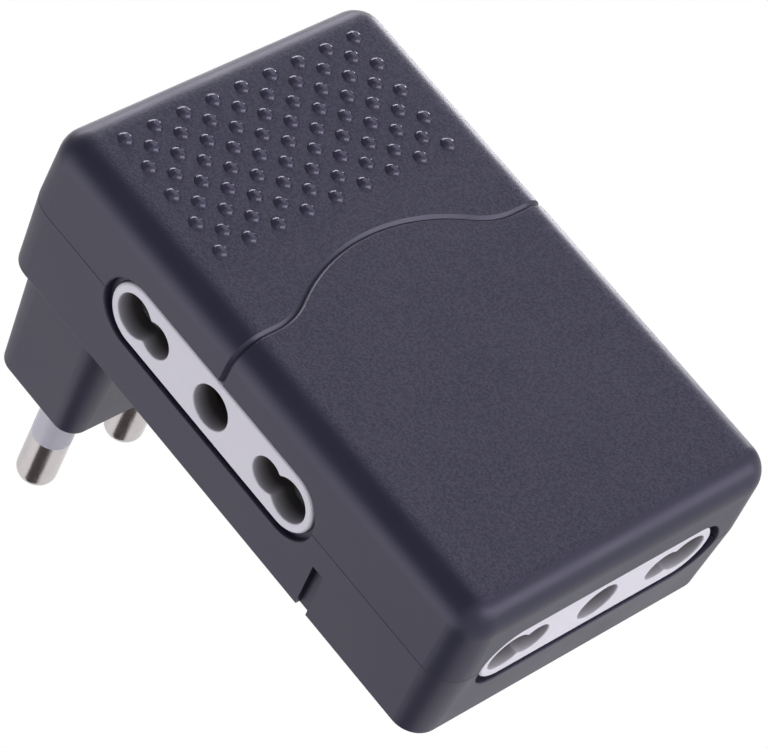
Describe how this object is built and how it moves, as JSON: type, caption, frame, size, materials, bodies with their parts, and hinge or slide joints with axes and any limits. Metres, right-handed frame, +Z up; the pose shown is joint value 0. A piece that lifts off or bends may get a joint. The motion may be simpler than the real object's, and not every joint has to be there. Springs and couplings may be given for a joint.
{
  "type": "three-way plug adapter",
  "caption": "Flat three-way plug adapter: a round-pin plug block behind its upper end and shuttered in-line sockets in both sides and the lower end.",
  "frame": {"origin": "on the earth pin's axis, at the face of the plug block that meets the wall socket", "axes": "+X to the right seen from the front, +Y towards the wall along the pins, +Z up along the case"},
  "size_m": [0.045, 0.0579, 0.0708],
  "materials": {
    "case_plastic": "fine spark-eroded grain",
    "socket_face_plastic": "satin",
    "shutter_plastic": "satin",
    "sleeve_plastic": "semi-gloss",
    "pin_nickel": "nickel plating over turned brass",
    "contact_brass": "stamped and bent",
    "strip_brass": "stamped",
    "plate_plastic": "moulded",
    "spring_steel": "drawn wire",
    "screw_steel": "zinc plated"
  },
  "bodies": {
    "case": {"front_shell": "case_plastic", "rear_shell": "case_plastic", "left_socket_insert": "socket_face_plastic", "left_shutter_spring_1": "spring_steel", "left_shutter_spring_2": "spring_steel", "left_line_contact": "contact_brass", "left_neutral_contact": "contact_brass", "left_earth_contact": "contact_brass", "right_socket_insert": "socket_face_plastic", "right_shutter_spring_1": "spring_steel", "right_shutter_spring_2": "spring_steel", "right_line_contact": "contact_brass", "right_neutral_contact": "contact_brass", "right_earth_contact": "contact_brass", "end_socket_insert": "socket_face_plastic", "end_shutter_spring_1": "spring_steel", "end_shutter_spring_2": "spring_steel", "end_line_contact": "contact_brass", "end_neutral_contact": "contact_brass", "end_earth_contact": "contact_brass", "line_busbar": "strip_brass", "neutral_busbar": "strip_brass", "earth_busbar": "strip_brass", "insulating_plate": "plate_plastic", "line_pin": "pin_nickel", "neutral_pin": "pin_nickel", "earth_pin": "pin_nickel", "line_pin_sleeve": "sleeve_plastic", "neutral_pin_sleeve": "sleeve_plastic", "closing_screws": "screw_steel"},
    "left_shutter": {"left_shutter": "shutter_plastic"},
    "right_shutter": {"right_shutter": "shutter_plastic"},
    "end_shutter": {"end_shutter": "shutter_plastic"}
  },
  "joints": [
    {"name": "left_shutter_slide", "type": "slide", "parent": "case", "child": "left_shutter", "axis": [0, 1, 0], "range_m": [0, 0.0054], "stiffness_N_per_m": 60, "springref_m": -0.003, "deforming": ["left_shutter_spring_1", "left_shutter_spring_2"]},
    {"name": "right_shutter_slide", "type": "slide", "parent": "case", "child": "right_shutter", "axis": [0, 1, 0], "range_m": [0, 0.0054], "stiffness_N_per_m": 60, "springref_m": -0.003, "deforming": ["right_shutter_spring_1", "right_shutter_spring_2"]},
    {"name": "end_shutter_slide", "type": "slide", "parent": "case", "child": "end_shutter", "axis": [0, 1, 0], "range_m": [0, 0.0054], "stiffness_N_per_m": 60, "springref_m": -0.003, "deforming": ["end_shutter_spring_1", "end_shutter_spring_2"]}
  ]
}
